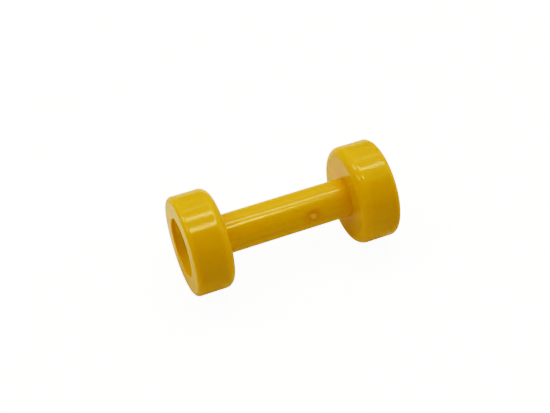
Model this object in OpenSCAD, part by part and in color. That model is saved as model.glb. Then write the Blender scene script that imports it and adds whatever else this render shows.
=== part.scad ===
// Dumbbell-shaped plastic link, often called a dogbone.
// A slim round shaft joins two equal thick round ends. Each end is a cup:
// it is open to the outside as a round socket and closed by a web on the
// side of the shaft. The shaft is shouldered at both ends. Its barrel seats
// in a shallow register in the web, its spigot passes through the web, and
// the spigot's head is spread into a countersink, level with the socket floor.
//
// Millimetres. The axis of the shaft lies along X and +Z is up, so the link
// lies on its side. The origin is the middle of the shaft, on its axis.

/* [Overall] */
// Length from one outer end face to the other
overall_length = 50.8; // [46:0.2:60]

/* [Ends] */
// Outside diameter of each end
end_diameter = 24; // [21:0.5:28]
// Thickness of each end, along the axis
end_thickness = 9.5; // [8.5:0.1:12]
// Rounding of the outer rim of each end
outer_rim_radius = 1.15; // [0.4:0.05:1.5]
// Rounding of the inner rim of each end, on the side of the shaft
inner_rim_radius = 2.2; // [0.6:0.1:3]

/* [Sockets] */
// Diameter of the round socket in each end
socket_diameter = 14.1; // [12:0.1:15]
// Thickness of the web between the socket floor and the inner face
web_thickness = 2.7; // [2.3:0.1:3.5]
// Rounding of the edge of the socket mouth
mouth_radius = 0.4; // [0.1:0.05:0.6]
// Rounding between the socket wall and its floor
floor_radius = 0.5; // [0.2:0.05:0.8]

/* [Shaft] */
// Diameter of the barrel of the shaft
shaft_diameter = 9.4; // [8.8:0.1:10.4]
// Depth of the register that the barrel seats in
register_depth = 0.8; // [0.4:0.1:1]
// Diameter of the spigot that passes through the web
spigot_diameter = 6; // [5:0.1:6.6]
// Diameter of the spread head of the spigot, at the socket floor
head_diameter = 8; // [7:0.1:8.6]
// Depth of the countersink that holds the spread head
head_depth = 0.9; // [0.5:0.1:1]

/* [Gate well] */
// Distance of the gate well from the middle of the shaft, towards +X
gate_offset = 6.15; // [0:0.05:9]
// Height of the gate well round the shaft, in degrees above the -Y side
gate_angle = 21; // [-90:1:90]
// Width of the gate well
gate_well_width = 3.1; // [2:0.1:3.6]
// Depth of the gate well
gate_well_depth = 0.5; // [0.3:0.05:0.8]
// Diameter of the stub left by the gate in the middle of its well
gate_stub_diameter = 1.4; // [0.8:0.1:1.8]
// Height of the stub above the bottom of the well
gate_stub_height = 0.38; // [0.1:0.02:0.5]

/* [Hidden] */
plastic = [0.83, 0.62, 0.03];
fine = 160;
// how far the cuts run past the surfaces they open
overrun = 1;
countersink_overrun = 0.01;

end_r = end_diameter / 2;
socket_r = socket_diameter / 2;
shaft_r = shaft_diameter / 2;
spigot_r = spigot_diameter / 2;
head_r = head_diameter / 2;

// places along the axis, from the middle of the shaft
inner_face_x = overall_length / 2 - end_thickness;
barrel_end_x = inner_face_x + register_depth;
floor_x = inner_face_x + web_thickness;

// radius of the ball whose cap has the width and depth of the gate well
gate_ball_r = (pow(gate_well_width / 2, 2) + pow(gate_well_depth, 2)) / (2 * gate_well_depth);
gate_well_bottom = shaft_r - gate_well_depth;
// how far the stub reaches below the bottom of the well
stub_root = 0.5;

// Cutter that rounds a corner at the origin to radius r.
// The material of the corner lies towards -x and -y.
module corner_cut(r) {
    difference() {
        translate([-r, -r]) square(r + overrun);
        translate([-r, -r]) circle(r = r, $fn = fine);
    }
}

// Cutter from just across the axis out to a radius, from height y upwards.
module bore_cut(radius, y, height) {
    translate([-overrun, y]) square([radius + overrun, height]);
}

// Half section of one end. x is the radius, y runs from the inner face,
// at 0, to the outer face, at end_thickness.
module end_section() {
    difference() {
        square([end_r, end_thickness]);
        // outer rim and inner rim
        translate([end_r, end_thickness]) corner_cut(outer_rim_radius);
        translate([end_r, 0]) mirror([0, 1]) corner_cut(inner_rim_radius);
        // socket, with a small radius round its floor
        difference() {
            bore_cut(socket_r, web_thickness, end_thickness - web_thickness + overrun);
            translate([socket_r, web_thickness]) mirror([0, 1]) corner_cut(floor_radius);
        }
        // edge of the socket mouth
        translate([socket_r, end_thickness]) mirror([1, 0]) corner_cut(mouth_radius);
        // register for the barrel
        bore_cut(shaft_r, -overrun, register_depth + overrun);
        // hole for the spigot
        bore_cut(spigot_r, -overrun, web_thickness + 2 * overrun);
        // countersink for the spread head
        polygon([
            [0, web_thickness - head_depth],
            [spigot_r, web_thickness - head_depth],
            [head_r, web_thickness],
            [head_r, web_thickness + countersink_overrun],
            [0, web_thickness + countersink_overrun]
        ]);
    }
}

// Half section of the shaft. x is the radius and y runs along the axis.
module shaft_section() {
    // one half of the length, from the head in to the barrel
    steps = [
        [0, floor_x],
        [head_r, floor_x],
        [spigot_r, floor_x - head_depth],
        [spigot_r, barrel_end_x],
        [shaft_r, barrel_end_x]
    ];
    polygon(concat(
        [for (step = steps) [step.x, -step.y]],
        [for (i = [len(steps) - 1 : -1 : 0]) steps[i]]
    ));
}

// Turns a half section into a solid round the X axis, its y running to +X.
module revolve_round_x() {
    rotate([0, 90, 0])
        rotate_extrude($fn = fine) children();
}

// The end on the +X side, with its socket facing +X.
module end_cup() {
    translate([inner_face_x, 0, 0])
        revolve_round_x() end_section();
}

// Places its children at the gate, at a height above the axis of the shaft,
// with +Z pointing straight out of the shaft.
module at_gate(height) {
    translate([gate_offset, 0, 0])
        rotate([90 - gate_angle, 0, 0])
            translate([0, 0, height])
                children();
}

module shaft() {
    color(plastic) {
        difference() {
            revolve_round_x() shaft_section();
            // shallow round well
            at_gate(gate_well_bottom + gate_ball_r)
                sphere(r = gate_ball_r, $fn = fine);
        }
        // stub where the runner broke away, rooted inside the shaft
        at_gate(gate_well_bottom - stub_root)
            cylinder(d = gate_stub_diameter, h = stub_root + gate_stub_height, $fn = fine);
    }
}

module left_end() {
    color(plastic)
        mirror([1, 0, 0]) end_cup();
}

module right_end() {
    color(plastic)
        end_cup();
}

shaft();
left_end();
right_end();
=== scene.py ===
"""A dumbbell-shaped link: three moulded pieces in glossy, faintly translucent golden-yellow plastic.

The link lies along X, with a socketed round end (a cup) at -X and at +X and a round shaft between.
Z is up, and the camera looks from the -Y side. Each piece is a finer mesh of its CAD node, built
ring by ring about the X axis. Sizes are in millimetres until a mesh is made. SCALE fits the
details, which are drawn for an end of 24 mm, to the size of the CAD ends.
"""
import itertools
import math
from types import SimpleNamespace

import bmesh
import bpy
import numpy as np
from mathutils import Matrix, Vector


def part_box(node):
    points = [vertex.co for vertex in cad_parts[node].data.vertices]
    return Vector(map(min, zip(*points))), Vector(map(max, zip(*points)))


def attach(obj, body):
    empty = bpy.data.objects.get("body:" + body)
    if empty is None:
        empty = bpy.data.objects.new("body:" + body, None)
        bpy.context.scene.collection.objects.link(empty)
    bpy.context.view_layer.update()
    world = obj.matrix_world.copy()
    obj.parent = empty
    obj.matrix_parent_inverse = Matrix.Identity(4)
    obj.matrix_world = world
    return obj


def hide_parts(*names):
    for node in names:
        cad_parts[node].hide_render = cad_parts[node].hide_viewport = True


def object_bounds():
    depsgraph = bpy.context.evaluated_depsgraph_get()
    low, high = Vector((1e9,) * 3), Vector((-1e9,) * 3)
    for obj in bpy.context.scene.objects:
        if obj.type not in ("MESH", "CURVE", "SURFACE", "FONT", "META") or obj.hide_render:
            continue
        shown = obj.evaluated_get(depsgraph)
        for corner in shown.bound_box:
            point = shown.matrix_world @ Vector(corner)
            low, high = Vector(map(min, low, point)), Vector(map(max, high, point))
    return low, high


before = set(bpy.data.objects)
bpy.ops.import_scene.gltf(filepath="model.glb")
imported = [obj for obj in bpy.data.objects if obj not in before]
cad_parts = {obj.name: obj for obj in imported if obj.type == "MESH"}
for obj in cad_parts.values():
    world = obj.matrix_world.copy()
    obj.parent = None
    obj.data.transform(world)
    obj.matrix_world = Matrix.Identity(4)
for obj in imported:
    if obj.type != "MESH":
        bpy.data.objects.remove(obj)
cad_lo, cad_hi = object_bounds()

MM = 0.001
TAU = 2 * math.pi

# ---------------------------------------------------------------- places and sizes from the CAD
LEFT_LO, LEFT_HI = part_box("left_end")
RIGHT_LO, RIGHT_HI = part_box("right_end")
SHAFT_LO, SHAFT_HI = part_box("shaft")
CENTRE = (cad_lo + cad_hi) / 2
HALF = (cad_hi.x - cad_lo.x) / 2 / MM            # middle to outer face
END_R = (LEFT_HI.z - LEFT_LO.z) / 2 / MM         # radius of an end
END_T = (RIGHT_HI.x - RIGHT_LO.x) / MM           # thickness of an end
SHAFT_R = (SHAFT_HI.z - SHAFT_LO.z) / 2 / MM     # radius of the barrel
FLOOR_X = SHAFT_HI.x / MM                        # socket floor and face of the spread head
INNER_X = HALF - END_T                           # inner face of an end
WEB = END_T - (HALF - FLOOR_X)                   # web of a cup, between socket floor and shaft side
SCALE = END_R / 12.0

RIM_OUT = 1.15 * SCALE       # rounding of the outer rim of an end
RIM_IN = 2.2 * SCALE         # rounding of its inner rim
SOCKET_R = 7.05 * SCALE
MOUTH = 0.4 * SCALE          # rounding at the mouth of the socket
FILLET = 0.5 * SCALE         # rounding at the bottom of the socket
REGISTER = 0.8 * SCALE       # depth to which the barrel enters a cup
BARREL_HALF = INNER_X + REGISTER
SPIGOT_R = 3.0 * SCALE
HEAD_R = 4.0 * SCALE
HEAD_T = 0.9 * SCALE
PLAY = 0.003                 # gap between the pieces

# the gate, a dished well with a torn stub, on the -Y side of the barrel
GATE_X = 6.15 * SCALE
GATE_ANGLE = math.radians(21)  # above the horizontal
GATE_R = 1.55 * SCALE
GATE_DEPTH = 0.5 * SCALE
STUB_R = 0.7 * SCALE
STUB_H = 0.38 * SCALE

CUP_STEPS = 384              # points round a cup
CORNER_PITCH = 0.04          # first and last step of a straight run
FINE_PITCH = 0.055 * SCALE   # spacing of the barrel's points at the gate
FINE_REACH = 1.9 * SCALE     # how far from the gate the fine spacing holds
SHAFT_SEED = 40


# ---------------------------------------------------------------- repeatable noise and falloffs
def value_noise(points, seed):
    """Smooth noise in -1..1 at the points (n by 3), with features about 1 unit wide."""
    points = np.asarray(points, float)
    cell = np.floor(points).astype(np.int64)
    fade = points - cell
    fade = fade * fade * fade * (fade * (fade * 6 - 15) + 10)

    def lattice(ix, iy, iz):
        value = (ix * 73856093) ^ (iy * 19349663) ^ (iz * 83492791) ^ (seed * 2654435761)
        value = (value ^ (value >> 13)) * 1274126177
        value = value & 0x7FFFFFFF
        value = (value ^ (value >> 16)) * 2246822519
        value = value & 0x7FFFFFFF
        return (value ^ (value >> 15)) % 65536 / 32767.5 - 1

    total = 0.0
    for corner in itertools.product((0, 1), repeat=3):
        share = np.prod(np.where(corner, fade, 1 - fade), axis=1)
        total = total + share * lattice(*(cell + np.array(corner)).T)
    return total


def fractal(points, seed, octaves=3):
    total, weight, weights = 0.0, 1.0, 0.0
    for k in range(octaves):
        total = total + weight * value_noise(points * (2.03 ** k) + 17.3 * k, seed + k)
        weights += weight
        weight *= 0.5
    return total / weights


def waves(points, seed, height, width):
    """Soft waves of the given height, about width wide."""
    return height * fractal(points / np.asarray(width), seed, octaves=2)


def smooth_step(start, end, value):
    share = np.clip((value - start) / (end - start), 0, 1)
    return share * share * (3 - 2 * share)


def falloff(distance, reach, power=1):
    """1 at no distance, dying away over the reach."""
    return np.exp(-((np.clip(distance, 0, None) / reach) ** power))


def sink(place, lo, hi):
    """A shallow hollow between lo and hi: 1 in the middle, 0 at the edges."""
    across = (place - (lo + hi) / 2) / ((hi - lo) / 2)
    return 1 - np.clip(across * across, 0, 1)


# ---------------------------------------------------------------- half sections
def on_arc(centre_x, centre_r, radius, degrees):
    """A point of an arc in the half section. The angle runs from +x towards +r."""
    angle = math.radians(degrees)
    return centre_x + radius * math.cos(angle), centre_r + radius * math.sin(angle)


class Section:
    """A half section traced point by point: x along the axis and r from it, each with a tag."""

    def __init__(self):
        self.points, self.tags = [], []

    def put(self, x, r, tag):
        if self.points and math.hypot(self.points[-1][0] - x, self.points[-1][1] - r) < 1e-6:
            return
        self.points.append((x, r))
        self.tags.append(tag)

    def line(self, x, r, tag, pitch):
        """A straight run, with close points at both ends to keep the shading true to a corner."""
        x0, r0 = self.points[-1]
        length = math.hypot(x - x0, r - r0)
        shares = [0.5, 1]
        if length > 4 * CORNER_PITCH:
            middle = length - 2 * CORNER_PITCH
            n = max(1, round(middle / pitch))
            inner = [(CORNER_PITCH + middle * k / n) / length for k in range(1, n)]
            shares = [CORNER_PITCH / length] + inner + [1 - CORNER_PITCH / length, 1]
        for share in shares:
            self.put(x0 + (x - x0) * share, r0 + (r - r0) * share, tag)

    def arc(self, centre_x, centre_r, radius, start, end, tag, count):
        for k in range(count + 1):
            degrees = start + (end - start) * k / count
            self.put(*on_arc(centre_x, centre_r, radius, degrees), tag)


def cup_section():
    """A closed loop round one cup. x runs from the inner face, at 0, to the outer face."""
    s = Section()
    ease = 0.03 * SCALE  # eased edges of the register and of the countersink
    bore = SHAFT_R + PLAY
    s.put(ease, bore, "register")
    s.arc(ease, bore + ease, ease, 270, 180, "seam", 4)
    s.line(0, END_R - RIM_IN, "inner_face", 0.45)
    s.arc(RIM_IN, END_R - RIM_IN, RIM_IN, 180, 90, "inner_rim", 22)
    s.line(END_T - RIM_OUT, END_R, "skin", 0.35)
    s.arc(END_T - RIM_OUT, END_R - RIM_OUT, RIM_OUT, 90, 0, "outer_rim", 16)
    s.line(END_T, SOCKET_R + MOUTH, "outer_face", 0.4)
    s.arc(END_T - MOUTH, SOCKET_R + MOUTH, MOUTH, 0, -90, "mouth", 8)
    s.line(WEB + FILLET, SOCKET_R, "wall", 0.45)
    s.arc(WEB + FILLET, SOCKET_R - FILLET, FILLET, 90, 180, "fillet", 8)
    s.line(WEB, HEAD_R + PLAY + ease, "floor", 0.35)
    s.arc(WEB - ease, HEAD_R + PLAY + ease, ease, 0, -70, "seam", 4)
    s.line(WEB - HEAD_T, SPIGOT_R + PLAY, "hidden", 0.4)
    s.line(REGISTER, SPIGOT_R + PLAY, "hidden", 0.5)
    s.line(REGISTER, bore, "hidden", 0.6)
    s.line(ease, bore, "register", 0.4)
    # the loop closes on its first point
    s.points.pop()
    s.tags.pop()
    return np.array(s.points), s.tags


def head_points():
    """The riveted head from the axis outwards, as (depth below the socket floor, r)."""
    ease = 0.09 * SCALE
    points = [(0.10 * SCALE, 0.0)]
    for r in np.linspace(0.15, 1.2, 8):       # the flat spread by a round punch
        points.append((0.10 * SCALE - 0.04 * SCALE * (r / 1.2) ** 2, r * SCALE))
    for share in np.linspace(0.15, 1, 6):     # the small cone left by the punch's centre
        points.append((0.06 * SCALE * (1 - share) ** 2 + 0.005, (1.2 + 0.35 * share) * SCALE))
    for r in np.linspace(1.9, 3.5, 6):
        points.append((0.0, r * SCALE))
    for k in range(6):
        points.append(on_arc(ease, HEAD_R - ease * 1.3, ease, 180 - 90 * k / 5))
    return points


def spaced(lo, hi, at, coarse):
    """Places from lo to hi, fine around at and widening smoothly to coarse away from it."""
    def walk(stop, sign):
        places, place = [], at
        while True:
            share = float(smooth_step(FINE_REACH, FINE_REACH + 3.0, abs(place - at)))
            gap = FINE_PITCH + (coarse - FINE_PITCH) * share
            place = place + sign * gap
            if (stop - place) * sign < gap * 0.5:
                return places
            places.append(place)
    return np.array([lo] + walk(lo, -1)[::-1] + [at] + walk(hi, 1) + [hi])


def shaft_section(head):
    """The open section of the shaft from -X to +X, without the points on the axis."""
    ease = 0.06 * SCALE
    spigot_x = -(FLOOR_X - HEAD_T)
    end = [(-(FLOOR_X - depth), r, "head") for depth, r in head[1:]]
    hidden = [
        (spigot_x, SPIGOT_R),
        (spigot_x + 0.3, SPIGOT_R),
        (-BARREL_HALF - 0.04, SPIGOT_R),
        (-BARREL_HALF, SPIGOT_R + 0.04),
        (-BARREL_HALF, SHAFT_R - ease - 0.04),
        (-BARREL_HALF, SHAFT_R - ease),
    ]
    hidden += [on_arc(-BARREL_HALF + ease, SHAFT_R - ease, ease, 180 - 30 * k) for k in (1, 2, 3)]
    end += [(x, r, "hidden") for x, r in hidden]
    reach = BARREL_HALF - 2 * ease
    barrel = [(x, SHAFT_R, "barrel") for x in spaced(-reach, reach, GATE_X, 0.30 * SCALE)]
    rows = end + barrel + [(-x, r, tag) for x, r, tag in reversed(end)]
    return np.array([row[:2] for row in rows]), [row[2] for row in rows]


# ---------------------------------------------------------------- meshes of revolution
def section_normals(profile, closed):
    """Normals to the left of the way the section runs, which is out of the solid."""
    if closed:
        along = np.roll(profile, -1, 0) - np.roll(profile, 1, 0)
    else:
        along = np.gradient(profile, axis=0)
    normals = np.stack([-along[:, 1], along[:, 0]], 1)
    return normals / np.maximum(np.linalg.norm(normals, axis=1, keepdims=True), 1e-12)


def revolve(profile, tags, angles, closed):
    """The points of a turned section, ring by ring. Angles run from +Y towards +Z."""
    columns = (*profile.T, *section_normals(profile, closed).T)
    x, r, normal_x, normal_r = (np.repeat(column, len(angles)) for column in columns)
    angle = np.tile(angles, len(profile))
    cos, sin = np.cos(angle), np.sin(angle)
    return SimpleNamespace(
        x=x, r=r, angle=angle, sin=sin, tag=np.repeat(np.array(tags), len(angles)),
        pos=np.stack([x, r * cos, r * sin], 1),
        normal=np.stack([normal_x, normal_r * cos, normal_r * sin], 1))


def ring_faces(rings, n, closed):
    quads = []
    for i in range(rings if closed else rings - 1):
        a, b = i * n, ((i + 1) % rings) * n
        for j in range(n):
            k = (j + 1) % n
            quads.append((a + j, a + k, b + k, b + j))
    return quads


def make_piece(name, node, points, faces, layers):
    """Make a piece from points in millimetres from the middle of the link."""
    mesh = bpy.data.meshes.new(name)
    mesh.from_pydata((points * MM + np.array(CENTRE)).tolist(), [], faces)
    mesh.update()
    for key, values in layers.items():
        attribute = mesh.attributes.new(key, "FLOAT", "POINT")
        attribute.data.foreach_set("value", np.asarray(values, np.float32))
    bm = bmesh.new()
    bm.from_mesh(mesh)
    bmesh.ops.recalc_face_normals(bm, faces=bm.faces)
    bm.to_mesh(mesh)
    bm.free()
    mesh.polygons.foreach_set("use_smooth", [True] * len(mesh.polygons))
    mesh.update()
    piece = bpy.data.objects.new(name, mesh)
    bpy.context.scene.collection.objects.link(piece)
    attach(piece, "root")
    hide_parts(node)
    return piece


def nick(rng, x, r, angle, widths, lengths, depths):
    """A random dent at a place on the skin: (centre, direction, width, length, depth)."""
    centre = np.array([x, r * math.cos(angle), r * math.sin(angle)])
    along = rng.normal(size=3)
    along /= np.linalg.norm(along)
    return centre, along, rng.uniform(*widths), rng.uniform(*lengths), rng.uniform(*depths)


def nick_depth(points, nicks):
    total = np.zeros(len(points))
    for centre, along, width, length, depth in nicks:
        offset = points - centre
        run = offset @ along
        side = np.sqrt(np.maximum((offset * offset).sum(1) - run * run, 0))
        total += depth * np.exp(-((run / length) ** 2) - (side / width) ** 2)
    return total


def soften(values, rings, times):
    """Blur values from ring to ring, along the section."""
    grid = values.reshape(rings, -1)
    for _ in range(times):
        grid = (grid + np.roll(grid, 1, 0) + np.roll(grid, -1, 0)) / 3
    return grid.ravel()


# ---------------------------------------------------------------- the cups
def cup_nicks(seed):
    """Small nicks, in turn on the skin, the outer rim, the inner rim and the outer face."""
    rng = np.random.default_rng(seed)
    nicks = []
    for k in range(16):
        angle = rng.uniform(0, TAU)
        if k % 4 == 0:
            x, r = rng.uniform(RIM_IN, END_T - RIM_OUT), END_R
        elif k % 4 == 1:
            x, r = on_arc(END_T - RIM_OUT, END_R - RIM_OUT, RIM_OUT, rng.uniform(20, 70))
        elif k % 4 == 2:
            x, r = on_arc(RIM_IN, END_R - RIM_IN, RIM_IN, rng.uniform(100, 150))
        else:
            x, r = END_T, rng.uniform(SOCKET_R + MOUTH, END_R - RIM_OUT)
        nicks.append(nick(rng, x, r, angle, widths=(0.07, 0.14), lengths=(0.15, 0.5),
                          depths=(0.006, 0.022)))
    return nicks


def cup_relief(s, seed, inside):
    """How far each point of a cup stands out, without its nicks."""
    outside = ~np.isin(s.tag, ["register", "seam", "wall", "fillet", "floor", "hidden"])
    move = outside * waves(s.pos, seed, height=0.010, width=5.0)
    move += outside * waves(s.pos, seed + 5, height=0.0022, width=1.1)
    move += inside * waves(s.pos, seed + 9, height=0.006, width=3.0)
    move -= (s.tag == "skin") * 0.020 * sink(s.x, RIM_IN, END_T - RIM_OUT)
    move -= (s.tag == "outer_face") * 0.030 * sink(s.r, SOCKET_R + MOUTH, END_R - RIM_OUT)
    # witness line of the mould, a hair of flash where the inner rim starts
    ridge = np.exp(-(((s.x - RIM_IN - 0.10) / 0.055) ** 2)) * (s.r > END_R - 0.05)
    move += ridge * 0.010 * (0.6 + 0.4 * np.sin(s.angle * 7 + seed) * np.cos(s.angle * 3))
    return move, outside


def cup_layers(s, seed, rings, inside, dents):
    """Where a cup is worn, dirty, deep or lit from within."""
    wear = np.zeros(len(s.pos))
    for tag, amount in (("outer_rim", 1.0), ("mouth", 0.9), ("inner_rim", 0.45)):
        wear[s.tag == tag] = amount
    wear = soften(wear, rings, 3) * (0.55 + 0.45 * fractal(s.pos / 2.2, seed + 21))
    wear += np.clip(dents / 0.02, 0, 1) * 0.5

    deep = np.zeros(len(s.pos))
    well = inside | (s.tag == "mouth")
    deep[well] = np.clip((END_T - s.x[well]) / (END_T - WEB), 0, 1)

    # where two pieces meet, light that sank in cannot come out of the hidden faces
    inner_face = s.tag == "inner_face"
    corner = np.where(inner_face, falloff(s.r - SHAFT_R, 1.1 * SCALE), 0.0)
    corner = np.where(s.tag == "floor", falloff(s.r - HEAD_R, 0.6 * SCALE), corner)
    corner[np.isin(s.tag, ["seam", "register", "hidden"])] = 1.0
    # painted glow: deep in the corner beside the shaft, where light bounces between the pieces, the
    # colour is made lighter and warmer
    painted_corner_glow = np.where(inner_face, falloff(s.r - SHAFT_R, 2.4 * SCALE, power=2), 0.0)

    # painted light: the thin wall near the mouth lets light through, most of it from above, the web
    # hardly any
    painted_soak_light = smooth_step(0.04, 0.26, deep) * (1 - 0.9 * smooth_step(0.42, 0.80, deep))
    # the rims get a painted glow as well
    rims = soften(np.isin(s.tag, ["outer_rim", "inner_rim"]).astype(float), rings, 4)
    glow = painted_soak_light * (0.4 + 1.3 * smooth_step(-0.85, -0.15, s.sin)) + 0.5 * rims
    return {
        "wear": np.clip(wear, 0, 1),
        "seam": np.isin(s.tag, ["register", "hidden"]),
        "deep": deep,
        "pale": np.zeros(len(s.pos)),
        "corner": corner,
        "glow": glow,
        "painted_soak_light": painted_soak_light,
        "painted_corner_glow": painted_corner_glow,
    }


def make_cup(name, node, side, seed):
    """One cup. side is +1 for the end at +X and -1 for the end at -X."""
    profile, tags = cup_section()
    s = revolve(profile, tags, np.arange(CUP_STEPS) / CUP_STEPS * TAU, closed=True)
    inside = np.isin(s.tag, ["wall", "fillet", "floor"])
    move, outside = cup_relief(s, seed, inside)
    dents = nick_depth(s.pos, cup_nicks(seed))
    move -= dents * outside
    s.pos = s.pos + s.normal * move[:, None]
    layers = cup_layers(s, seed, len(profile), inside, dents)
    # the section's x points outwards from the inner face of the end
    points = s.pos.copy()
    points[:, 0] = side * (INNER_X + s.pos[:, 0])
    faces = ring_faces(len(profile), CUP_STEPS, closed=True)
    return make_piece(name, node, points, faces, layers)


# ---------------------------------------------------------------- the shaft
def gate_relief(x, y, off):
    """The dished gate and its torn stub. x and y lie on the skin, off is the distance."""
    softness = 0.12
    cap = 1 - (off / GATE_R) ** 2
    dish = GATE_DEPTH * (cap + np.sqrt(cap * cap + softness)) / 2
    dish /= (1 + math.sqrt(1 + softness)) / 2
    dish *= 1 - smooth_step(GATE_R * 1.05, GATE_R * 1.6, off)
    # the stub has steep, ragged sides and a tilted top with a small pit
    edge = np.stack([x * 2.2, y * 2.2, 0 * x], 1)
    ragged = STUB_R * (1 + 0.07 * fractal(edge, SHAFT_SEED + 7, 2))
    rise = np.sqrt(np.clip(1 - (off / (ragged + 0.08)) ** 2, 0, 1))
    torn = STUB_H * (0.86 + 0.10 * x / STUB_R - 0.14 * y / STUB_R)
    torn += 0.055 * fractal(np.stack([x * 3.1, y * 3.1, 0 * x + 3], 1), SHAFT_SEED + 11)
    torn -= 0.03 * np.exp(-((x - 0.12) ** 2 + (y + 0.08) ** 2) / 0.05)
    return -dish + rise * torn


def shaft_nicks():
    rng = np.random.default_rng(SHAFT_SEED)
    nicks = []
    for _ in range(7):
        angle, x = rng.uniform(0, TAU), rng.uniform(-13, 13)
        nicks.append(nick(rng, x, SHAFT_R, angle, widths=(0.08, 0.14), lengths=(0.2, 0.6),
                          depths=(0.005, 0.014)))
    return nicks


def shaft_layers(s, barrel, headed, arc, off):
    """Where the shaft is worn, torn, deep or lit from within."""
    hidden = s.tag == "hidden"
    # paler on the torn stub: partly whitened where it tore, partly a painted highlight
    pale = barrel * (1 - smooth_step(STUB_R * 0.75, STUB_R * 1.35, off))
    pale = pale * (0.85 + 0.15 * fractal(s.pos * 3.0, SHAFT_SEED + 17, 2))
    wear = barrel * 0.12 * (1 + fractal(s.pos / 3.0, SHAFT_SEED + 19, 2)) + headed * 0.35
    to_end = INNER_X - np.abs(s.x)
    corner = falloff(to_end, 1.0 * SCALE)
    corner[headed] = falloff(HEAD_R - s.r[headed], 0.6 * SCALE)
    corner[hidden] = 1.0
    stretched = np.hypot((s.x - GATE_X) * 0.8, arc)
    return {
        "wear": np.clip(wear, 0, 1),
        "seam": hidden,
        "deep": headed,
        "pale": np.clip(pale, 0, 1),
        # painted shade in and round the gate's dished well
        "gate_well_shade": barrel * falloff(stretched, 1.9 * SCALE, power=4),
        "corner": corner,
        # painted glow on the barrel, full below and at the sides, fading towards the top
        "glow": barrel * 0.6 * (1 - smooth_step(0.30, 0.88, s.sin)),
        "painted_soak_light": np.zeros(len(s.pos)),
        # painted glow near the ends of the barrel, where light bounces off the ends
        "painted_corner_glow": barrel * falloff(to_end, 1.9 * SCALE, power=2),
    }


def make_shaft():
    girth = TAU * SHAFT_R
    around = spaced(-girth / 2, girth / 2, 0.0, 0.32 * SCALE)[:-1] / SHAFT_R  # 0 is at the gate
    head = head_points()
    profile, tags = shaft_section(head)
    s = revolve(profile, tags, math.pi - GATE_ANGLE + around, closed=False)
    arc = np.tile(around, len(profile)) * SHAFT_R
    barrel, headed = s.tag == "barrel", s.tag == "head"
    off = np.hypot(s.x - GATE_X, arc)

    # the long waves of the barrel die out before the shoulders
    inland = barrel * np.clip((BARREL_HALF - np.abs(s.x)) / 1.2, 0, 1)
    move = inland * waves(s.pos, SHAFT_SEED, height=0.012, width=(6.0, 3.2, 3.2))
    move += inland * waves(s.pos, SHAFT_SEED + 3, height=0.002, width=0.9)
    move += barrel * gate_relief(s.x - GATE_X, arc, off)
    # light tool marks on the heads
    move += headed * waves(s.pos, SHAFT_SEED + 13, height=0.012, width=0.8)
    s.pos = s.pos + s.normal * move[:, None]
    # nothing stands out beyond the socket floor
    s.pos[:, 0] = np.clip(s.pos[:, 0], -FLOOR_X, FLOOR_X)
    dents = nick_depth(s.pos, shaft_nicks()) * barrel
    s.pos = s.pos - s.normal * dents[:, None]

    # one point on the axis closes each head
    tip = FLOOR_X - head[0][0]
    points = np.vstack([s.pos, [[-tip, 0, 0], [tip, 0, 0]]])
    on_axis = {"wear": 0.3, "deep": 1}
    layers = {key: np.append(values.astype(float), [on_axis.get(key, 0)] * 2)
              for key, values in shaft_layers(s, barrel, headed, arc, off).items()}
    n, first = len(around), len(s.pos)
    last_ring = first - n
    faces = ring_faces(len(profile), n, closed=False)
    faces += [(first, (j + 1) % n, j) for j in range(n)]
    faces += [(first + 1, last_ring + j, last_ring + (j + 1) % n) for j in range(n)]
    return make_piece("shaft_barrel", "shaft", points, faces, layers)


# ---------------------------------------------------------------- shader trees
class Tree:
    """The emptied node tree of a material or a world. An input takes a value or a socket."""

    def __init__(self, owner):
        self.owner = owner
        owner.use_nodes = True
        self.tree = owner.node_tree
        self.tree.nodes.clear()

    def node(self, kind, inputs=None, **settings):
        made = self.tree.nodes.new(kind)
        for key, value in settings.items():
            setattr(made, key, value)
        for key, value in (inputs or {}).items():
            if isinstance(value, bpy.types.NodeSocket):
                self.tree.links.new(value, made.inputs[key])
            else:
                made.inputs[key].default_value = value
        return made

    def maths(self, operation, *values, clamp=False):
        return self.node("ShaderNodeMath", dict(enumerate(values)), operation=operation,
                         use_clamp=clamp).outputs[0]

    def times(self, value, by):
        return self.maths("MULTIPLY", value, by)

    def plus(self, value, more, clamp=False):
        return self.maths("ADD", value, more, clamp=clamp)

    def span(self, value, between, gives=(0, 1)):
        inputs = {"Value": value, "From Min": between[0], "From Max": between[1],
                  "To Min": gives[0], "To Max": gives[1]}
        return self.node("ShaderNodeMapRange", inputs, clamp=True).outputs["Result"]

    def mix(self, share, first, second):
        return self.node("ShaderNodeMix", {0: share, 6: first, 7: second}, data_type="RGBA",
                         clamp_factor=True).outputs[2]

    def mix_shader(self, share, first, second):
        return self.node("ShaderNodeMixShader", {0: share, 1: first, 2: second}).outputs[0]

    def mapped(self, vector, **inputs):
        return self.node("ShaderNodeMapping", {"Vector": vector, **inputs}).outputs["Vector"]

    def noise(self, vector, scale, detail=2.0, rough=0.5, distortion=0.0):
        inputs = {"Vector": vector, "Scale": scale, "Detail": detail, "Roughness": rough,
                  "Distortion": distortion}
        return self.node("ShaderNodeTexNoise", inputs).outputs["Fac"]

    def attribute(self, name):
        return self.node("ShaderNodeAttribute", attribute_name=name).outputs["Fac"]

    def coordinates(self, kind):
        return self.node("ShaderNodeTexCoord").outputs[kind]


# ---------------------------------------------------------------- plastic
BASE = (0.672, 0.366, 0.0012)


def toned(red=1.0, green=1.0, blue=1.0):
    """The base colour with its channels scaled."""
    return (BASE[0] * red, BASE[1] * green, BASE[2] * blue, 1)


CLOUD_DARK = toned(red=0.992, green=0.965, blue=0.8)
CLOUD_LIGHT = toned(red=1.012, green=1.03, blue=1.3)
SWIRL = toned(red=1.01, green=1.05, blue=1.5)
SPECK = toned(red=0.86, green=0.80)
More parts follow.
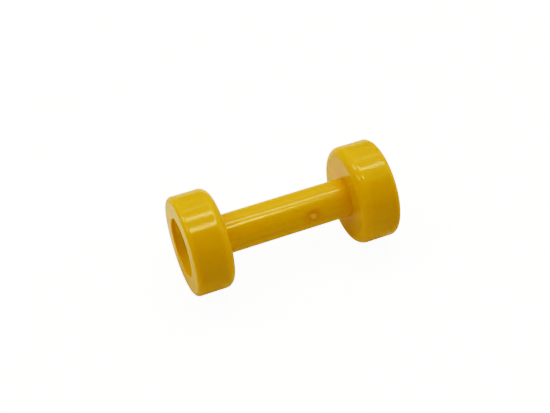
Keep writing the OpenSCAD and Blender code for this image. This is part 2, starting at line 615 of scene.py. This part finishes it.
# painted glow of light bounced between the pieces
PAINTED_CORNER_GLOW = toned(red=1.09, green=0.89, blue=0.4)
# painted shade for the gate's well
PAINTED_GATE_SHADE = toned(green=0.66, blue=0.4)
RUBBED = (0.70, 0.44, 0.03, 1)
# painted light down the socket
PAINTED_SOAK_LIGHT = (0.70, 0.43, 0.003, 1)
GRIME = (0.38, 0.17, 0.006, 1)
TORN_AND_HIGHLIGHT = (0.76, 0.50, 0.12, 1)

# sets of hairlines: (rotation of the pattern, noise scale, breadth of a line in noise value)
HAIRLINES = (
    ((0.2, 0.5, 0.1), 520, 0.022),
    ((1.1, 0.2, 0.9), 380, 0.018),
    ((0.5, 1.3, 2.0), 640, 0.015),
)


def plastic_colour(tree, place, rub, pale, gated):
    # slow clouds and swirls of pigment, and fine specks
    cloud = tree.noise(place, scale=120, detail=3.0, rough=0.55, distortion=0.8)
    swirl = tree.noise(tree.mapped(place, Scale=(0.35, 1, 1)),
                       scale=420, detail=4.0, rough=0.6, distortion=2.2)
    specks = tree.noise(place, scale=5200, detail=1.0)
    coats = [
        (tree.span(swirl, between=(0.52, 0.75), gives=(0, 0.3)), SWIRL),
        (tree.span(specks, between=(0.71, 0.80), gives=(0, 0.25)), SPECK),
        # painted glow in the corners where the shaft meets the ends
        (tree.times(tree.attribute("painted_corner_glow"), by=0.85), PAINTED_CORNER_GLOW),
        # rubbed rims are a little paler
        (tree.times(rub, by=0.10), RUBBED),
        # painted light: down the socket the wall is made lighter, for light that soaks through from
        # outside
        (tree.attribute("painted_soak_light"), PAINTED_SOAK_LIGHT),
        (tree.times(tree.attribute("seam"), by=0.2), GRIME),
    ]
    if gated:
        # painted shade: in and round the gate's dished well the skin is made a touch darker and
        # redder
        ripple = tree.noise(place, scale=700, distortion=1.5)
        ripple = tree.span(ripple, between=(0.3, 0.7), gives=(0.75, 1.0))
        coats.append((tree.times(tree.attribute("gate_well_shade"), by=ripple), PAINTED_GATE_SHADE))
    # the torn stub is paler: partly whitened where it tore, partly a painted highlight
    coats.append((tree.times(pale, by=0.85), TORN_AND_HIGHLIGHT))

    colour = tree.mix(tree.span(cloud, between=(0.35, 0.68)), CLOUD_DARK, CLOUD_LIGHT)
    for share, coat in coats:
        colour = tree.mix(share, colour, coat)
    return colour


def plastic_roughness(tree, place, rub, pale, lines):
    """Polished by the mould, dulled by a haze and by smears of handling."""
    haze = tree.noise(place, scale=260, detail=4.0, rough=0.6, distortion=0.6)
    smear = tree.noise(tree.mapped(place, Rotation=(0.4, 0.9, 0.3), Scale=(1, 6, 1)),
                       scale=300, detail=3.0, rough=0.6, distortion=0.4)
    rough = tree.plus(tree.span(haze, between=(0.3, 0.7), gives=(0.09, 0.14)),
                      tree.span(smear, between=(0.5, 0.72), gives=(0.0, 0.04)))
    rough = tree.plus(rough, tree.times(rub, by=0.13))
    rough = tree.plus(rough, tree.times(pale, by=0.12))
    rough = tree.plus(rough, tree.times(tree.attribute("deep"), by=0.07))
    return tree.plus(rough, tree.times(lines, by=0.08), clamp=True)


def hairlines(tree, place):
    """Fine scratches: thin bands of a stretched noise, kept only in patches."""
    lines = None
    for k, (turn, scale, breadth) in enumerate(HAIRLINES):
        stretched = tree.mapped(place, Rotation=turn, Scale=(1, 0.06, 1),
                                Location=(k * 0.013, k * 0.007, 0))
        wobble = tree.noise(stretched, scale=scale, detail=1.0, rough=0.4, distortion=0.15)
        level = 0.5 + 0.04 * (k - 1)
        distance = tree.maths("ABSOLUTE", tree.maths("SUBTRACT", wobble, level))
        line = tree.span(distance, between=(0.0, breadth * 0.35), gives=(1.0, 0.0))
        patches = tree.span(tree.noise(place, scale=170 + 60 * k), between=(0.56, 0.66))
        line = tree.times(line, by=patches)
        lines = line if lines is None else tree.maths("MAXIMUM", lines, line)
    return lines


def plastic_relief(tree, place, rub, pale, lines):
    """Orange peel, hairlines, and grain on the torn stub and the rubbed rims. In metres."""
    peel = tree.noise(place, scale=1500)
    grain = tree.noise(place, scale=9000, rough=0.6)
    height = tree.times(peel, by=3.5e-6)
    height = tree.maths("SUBTRACT", height, tree.times(lines, by=1.8e-6))
    height = tree.plus(height, tree.times(tree.times(grain, by=pale), by=1.2e-5))
    height = tree.plus(height, tree.times(tree.times(grain, by=rub), by=2.5e-6))
    inputs = {"Strength": 1.0, "Distance": 1.0, "Height": height}
    return tree.node("ShaderNodeBump", inputs).outputs["Normal"]


def plastic(name, shift, gated=False):
    """Golden-yellow plastic. shift moves the patterns, so that no two pieces share them."""
    tree = Tree(bpy.data.materials.new(name))
    place = tree.mapped(tree.coordinates("Object"), Location=shift)
    pale = tree.attribute("pale")
    patchy = tree.noise(place, scale=900, detail=4.0, rough=0.65, distortion=0.5)
    rub = tree.times(tree.attribute("wear"),
                     by=tree.span(patchy, between=(0.38, 0.66), gives=(0.15, 1.0)))
    lines = hairlines(tree, place)
    shader = tree.node("ShaderNodeBsdfPrincipled", {
        "Base Color": plastic_colour(tree, place, rub, pale, gated),
        "Roughness": plastic_roughness(tree, place, rub, pale, lines),
        "Normal": plastic_relief(tree, place, rub, pale, lines),
        "IOR": 1.50,
        "Specular Tint": (1.0, 0.92, 0.55, 1),
        "Subsurface Weight": tree.span(tree.attribute("corner"), between=(0, 1), gives=(0.7, 0)),
        "Subsurface Radius": (1.0, 0.45, 0.08),
        "Subsurface Scale": 0.0016,
        # painted glow: light that has soaked through the wall or the shaft from the bright side
        "Emission Color": (1.0, 0.68, 0.0, 1),
        "Emission Strength": tree.times(tree.attribute("glow"), by=0.078),
    }, subsurface_method="RANDOM_WALK")
    tree.node("ShaderNodeOutputMaterial", {"Surface": shader.outputs["BSDF"]})
    return tree.owner


left = make_cup("left_end_cup", "left_end", side=-1, seed=11)
right = make_cup("right_end_cup", "right_end", side=1, seed=23)
shaft = make_shaft()
left.data.materials.append(plastic("end_plastic_left", shift=(0.013, 0.021, 0.007)))
right.data.materials.append(plastic("end_plastic_right", shift=(0.111, -0.037, 0.053)))
shaft.data.materials.append(plastic("shaft_plastic", shift=(-0.071, 0.043, 0.093), gated=True))

# ---------------------------------------------------------------- floor
FLOOR_HALF = 3.0         # metres
FLOOR_DROP = 0.00003     # metres below the part, so that they do not touch
FLOOR_GLOW = 2.08        # brightness of the white that the camera sees
FLOOR_LIFT = 0.87        # share of that glow in the paper
# colours of the paper seen only in reflections: painted shade and painted light
PAINTED_FRONT_SHADE = (0.32, 0.28, 0.24, 1)
PAINTED_FAR_SHADE = (0.30, 0.25, 0.16, 1)
PAINTED_LEFT_LIGHT = (0.87, 0.75, 0.50, 1)
PAINTED_RIGHT_LIGHT = (1.0, 0.84, 0.63, 1)


def paper_seen(tree, seen):
    """White paper, lit from below for the camera alone, so it keeps only a light shadow."""
    cloud = tree.span(tree.noise(tree.coordinates("Object"), scale=14, detail=3),
                      between=(0.3, 0.7))
    tone = tree.mix(cloud, (0.86, 0.86, 0.86, 1), (0.88, 0.88, 0.88, 1))
    matt = tree.node("ShaderNodeBsdfPrincipled", {
        "Base Color": tone, "Roughness": 0.75, "Specular IOR Level": 0.2})
    glow = tree.node("ShaderNodeEmission", {"Strength": FLOOR_GLOW})
    return tree.mix_shader(tree.times(seen, by=FLOOR_LIFT), matt.outputs["BSDF"],
                           glow.outputs[0])


def painted_paper_reflection(tree, x, y):
    """The paper as mirrored in the plastic, with painted light and shade: painted shade in front of
    the part, painted light behind it.
    """
    def across(start, end, **gives):
        return tree.span(x, between=(cad_lo.x + start * MM, cad_lo.x + end * MM), **gives)

    def back(start, end, **gives):
        return tree.span(y, between=(CENTRE.y + start * MM, CENTRE.y + end * MM), **gives)

    beside = tree.times(across(3, -3), by=back(-11, -4))
    behind = tree.maths("MAXIMUM", back(-15, -8, gives=(0, 0.6)), back(-1, 9))
    bright = tree.mix(across(4, 14), PAINTED_LEFT_LIGHT, PAINTED_RIGHT_LIGHT)
    paper = tree.mix(tree.maths("MAXIMUM", beside, behind), PAINTED_FRONT_SHADE, bright)
    colour = tree.mix(back(20, 34, gives=(0, 0.3)), paper, PAINTED_FAR_SHADE)
    return tree.node("ShaderNodeBsdfDiffuse", {"Color": colour}).outputs[0]


def light_through(tree, x, y, diffuse_ray):
    """A little light through the paper under the two ends, so their undersides are not black."""
    away = tree.maths("ABSOLUTE", tree.maths("SUBTRACT", y, CENTRE.y))
    aside = tree.maths("ABSOLUTE", tree.maths("SUBTRACT", x, CENTRE.x))
    under = tree.times(tree.span(away, between=(4 * MM, 9 * MM), gives=(0.35, 0)),
                       by=tree.span(aside, between=(13 * MM, 16 * MM)))
    return tree.node("ShaderNodeEmission", {
        "Color": (1, 0.9, 0.7, 1), "Strength": tree.times(under, by=diffuse_ray)}).outputs[0]


def floor_paper():
    tree = Tree(bpy.data.materials.new("floor_white"))
    rays = tree.node("ShaderNodeLightPath").outputs
    seen = rays["Is Camera Ray"]
    position = tree.node("ShaderNodeNewGeometry").outputs["Position"]
    split = tree.node("ShaderNodeSeparateXYZ", {0: position}).outputs
    x, y = split["X"], split["Y"]
    # reflections in the plastic see the painted paper
    paper = tree.mix_shader(rays["Is Glossy Ray"], paper_seen(tree, seen),
                            painted_paper_reflection(tree, x, y))
    through = light_through(tree, x, y, rays["Is Diffuse Ray"])
    both = tree.node("ShaderNodeAddShader", {0: paper, 1: through}).outputs[0]
    # from underneath the paper is clear, so the part can be looked at from below
    backfacing = tree.node("ShaderNodeNewGeometry").outputs["Backfacing"]
    surface = tree.mix_shader(tree.times(backfacing, by=seen), both,
                              tree.node("ShaderNodeBsdfTransparent").outputs[0])
    tree.node("ShaderNodeOutputMaterial", {"Surface": surface})
    tree.owner.cycles.emission_sampling = "NONE"
    return tree.owner


def floor():
    bm = bmesh.new()
    bmesh.ops.create_grid(bm, x_segments=8, y_segments=8, size=FLOOR_HALF)
    mesh = bpy.data.meshes.new("floor")
    bm.to_mesh(mesh)
    bm.free()
    sheet = bpy.data.objects.new("floor", mesh)
    bpy.context.scene.collection.objects.link(sheet)
    sheet.location = (CENTRE.x, CENTRE.y, cad_lo.z - FLOOR_DROP)
    mesh.materials.append(floor_paper())


floor()


# ---------------------------------------------------------------- lights
def lamp(name, offset, size_x, size_y, watts, colour, turn, mirrored=True, lit=True):
    """An area light aimed at the middle of the part. Metres, with turn in degrees about Z."""
    data = bpy.data.lights.new(name, "AREA")
    data.shape = "RECTANGLE"
    data.size, data.size_y = size_x, size_y
    data.energy = watts
    data.color = colour
    light = bpy.data.objects.new(name, data)
    bpy.context.scene.collection.objects.link(light)
    light.visible_glossy, light.visible_diffuse = mirrored, lit
    at = CENTRE + offset
    back = (at - CENTRE).normalized()
    angle = math.radians(turn)
    across = Vector((math.cos(angle), math.sin(angle), 0))
    across = (across - back * across.dot(back)).normalized()
    axes = Matrix((across, back.cross(across), back)).transposed()
    light.matrix_world = Matrix.Translation(at) @ axes.to_4x4()


def panel(name, x, y, length, width, turn, radiance, colour=(1, 0.97, 0.92), lit=True):
    """A bright panel 0.6 m above the part's middle, sized in mm: it draws one crisp streak."""
    watts = radiance * math.pi * length * width * 1e-6
    lamp(name, Vector((x, y, 600)) * MM, length * MM, width * MM, watts, colour, turn, lit=lit)


panel("panel_back_right", x=165, y=150, length=236, width=85, turn=-27, radiance=9.0,
      colour=(1, 0.86, 0.68))
panel("panel_front_right", x=122, y=-80, length=140, width=78, turn=52, radiance=11.9,
      colour=(1, 0.87, 0.69), lit=False)
panel("panel_back_left", x=-325, y=275, length=280, width=110, turn=-27, radiance=6.5)
panel("panel_front_left", x=-460, y=-27, length=280, width=110, turn=-27, radiance=6.5)
panel("panel_far", x=210, y=485, length=300, width=55, turn=-22, radiance=1.8)
lamp("soft_left", Vector((-0.95, 0.20, 0.50)), size_x=1.0, size_y=0.8, watts=0.3,
     colour=(1, 1, 1), turn=90, mirrored=False)
lamp("soft_top", Vector((0.0, 0.0, 0.95)), size_x=0.8, size_y=0.8, watts=3.34,
     colour=(1, 0.97, 0.9), turn=-22.4, mirrored=False)

# ---------------------------------------------------------------- sky
# the level direction of the camera's view
VIEW_X, VIEW_Y = 0.38055, 0.92476

# a light tent, open and dark on the camera's side: colours by angle in degrees in the camera's
# upright plane, from the horizon behind the part, over the top, to the horizon in front of it
TENT = {
    0: (0.15, 0.15, 0.15),
    35: (0.80, 0.82, 0.80),
    70: (1.38, 1.32, 1.25),
    101: (0.60, 0.66, 0.60),
    108: (0.04, 0.03, 0.02),
    140: (0.20, 0.06, 0.01),
    180: (0.10, 0.03, 0.01),
}


def tent():
    world = bpy.data.worlds.new("tent")
    bpy.context.scene.world = world
    tree = Tree(world)
    way = tree.coordinates("Generated")
    up = tree.node("ShaderNodeSeparateXYZ", {0: way}).outputs["Z"]
    back = tree.node("ShaderNodeVectorMath", {0: way, 1: (VIEW_X, VIEW_Y, 0.0)},
                     operation="DOT_PRODUCT").outputs["Value"]
    share = tree.maths("DIVIDE", tree.maths("ARCTAN2", up, back), math.pi)
    ramp = tree.node("ShaderNodeValToRGB", {0: share})
    stops = ramp.color_ramp.elements
    while len(stops) < len(TENT):
        stops.new(0.5)
    for stop, angle in zip(stops, TENT):
        stop.position = angle / 180
    for stop, colour in zip(stops, TENT.values()):
        stop.color = colour + (1,)
    sky = tree.node("ShaderNodeBackground", {"Color": ramp.outputs[0]})
    # the camera itself sees plain white beyond the edge of the paper
    white = tree.node("ShaderNodeBackground", {"Color": (1, 1, 1, 1), "Strength": FLOOR_GLOW})
    seen = tree.node("ShaderNodeLightPath").outputs["Is Camera Ray"]
    either = tree.mix_shader(seen, sky.outputs[0], white.outputs[0])
    tree.node("ShaderNodeOutputWorld", {0: either})


tent()


# ---------------------------------------------------------------- camera
def camera():
    data = bpy.data.cameras.new("camera")
    data.sensor_fit = "HORIZONTAL"
    data.sensor_width = 36.0
    data.lens = 69.663273
    data.clip_start, data.clip_end = 0.01, 20
    cam = bpy.data.objects.new("camera", data)
    bpy.context.scene.collection.objects.link(cam)
    forward = Vector((0.25239, 0.61332, -0.74843)).normalized()
    rightward = Vector((VIEW_Y, -VIEW_X, 0.0)).normalized()
    upward = rightward.cross(forward).normalized()
    spot = CENTRE + Vector((-64.508, -152.038, 189.816)) * MM * SCALE
    axes = Matrix((rightward, upward, -forward)).transposed()
    cam.matrix_world = Matrix.Translation(spot) @ axes.to_4x4()
    bpy.context.scene.camera = cam


camera()

# ---------------------------------------------------------------- tone curves
# brightnesses at which the combined curve has a point
KNOTS = (0.0, 0.15, 0.3, 0.4, 0.5, 0.62, 0.75, 0.9, 1.1, 1.3, 1.95, 2.4, 6.0)

# the blue channel of strong yellows falls away towards black: (in, out)
BLUE_FOOT = (
    (0.0, 0.0), (0.012, 0.0), (0.03, 0.006), (0.06, 0.03), (0.10, 0.072),
    (0.16, 0.142), (0.25, 0.243), (0.35, 0.35), (1.0, 1.0),
)


def shoulder(value):
    """True up to 0.3, then a soft shoulder, then straight on to white at about 1.95."""
    if value <= 0.3:
        return value
    if value <= 1.3:
        return 0.3 + 0.7 * (1 - math.exp(-(value - 0.3) / 0.7))
    return min(1.0, 0.832 + (value - 1.3) * 0.26)


def shape_curve(curve, places):
    while len(curve.points) < len(places):
        curve.points.new(0.5, 0.5)
    for point, place in zip(curve.points, places):
        point.location = place
        point.handle_type = "VECTOR"


view = bpy.context.scene.view_settings
view.view_transform = "Standard"
view.look = "None"
view.use_curve_mapping = True
mapping = view.curve_mapping
mapping.use_clip = False
mapping.clip_max_x = 6.0
shape_curve(mapping.curves[3], [(knot, shoulder(knot)) for knot in KNOTS])
shape_curve(mapping.curves[2], BLUE_FOOT)
mapping.update()
